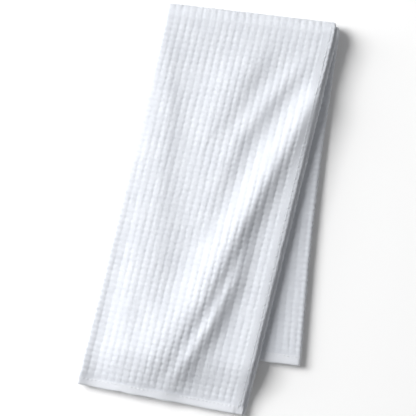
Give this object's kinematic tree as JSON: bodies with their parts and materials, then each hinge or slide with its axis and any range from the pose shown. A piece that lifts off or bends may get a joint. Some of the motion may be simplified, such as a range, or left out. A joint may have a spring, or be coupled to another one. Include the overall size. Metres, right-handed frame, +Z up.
{
  "type": "golf towel",
  "caption": "Ribbed cotton golf towel lying folded: three panels deep lengthwise, then once across, with hemmed edges and a front leaf that opens over the fold.",
  "frame": {"origin": "middle of the bounding box, at the level of the surface the towel lies on", "axes": "+Z up from the surface, +Y along the towel towards the fold across its middle, +X to the right along that fold"},
  "size_m": [0.1766, 0.3194, 0.0267],
  "materials": {
    "waffle_cloth": "white cotton woven in soft beaded ribs, matt",
    "hem_cloth": "white plain-woven cotton, turned over and sewn flat",
    "sewing_thread": "white polyester thread, slightly glossy",
    "label_ribbon": "blank white satin ribbon"
  },
  "bodies": {
    "back_leaf": {"back_leaf_cloth": "waffle_cloth", "back_end_hem": "hem_cloth", "back_end_hem_thread": "sewing_thread", "back_outer_side_hem": "hem_cloth", "back_outer_side_hem_thread": "sewing_thread", "back_inner_side_hem": "hem_cloth", "back_inner_side_hem_thread": "sewing_thread", "care_label": "label_ribbon", "top_fold_cloth": "waffle_cloth", "top_fold_outer_side_hem": "hem_cloth", "top_fold_outer_side_hem_thread": "sewing_thread", "top_fold_inner_side_hem": "hem_cloth", "top_fold_inner_side_hem_thread": "sewing_thread"},
    "front_leaf": {"front_leaf_cloth": "waffle_cloth", "front_end_hem": "hem_cloth", "front_end_hem_thread": "sewing_thread", "front_outer_side_hem": "hem_cloth", "front_outer_side_hem_thread": "sewing_thread", "front_inner_side_hem": "hem_cloth", "front_inner_side_hem_thread": "sewing_thread"}
  },
  "joints": [
    {"name": "cross_fold", "type": "hinge", "parent": "back_leaf", "child": "front_leaf", "pos_m": [0, 0.1529, 0.0108], "axis": [-1, 0, 0], "range_deg": [0, 178], "deforming": ["top_fold_cloth", "top_fold_outer_side_hem", "top_fold_outer_side_hem_thread", "top_fold_inner_side_hem", "top_fold_inner_side_hem_thread"]}
  ]
}
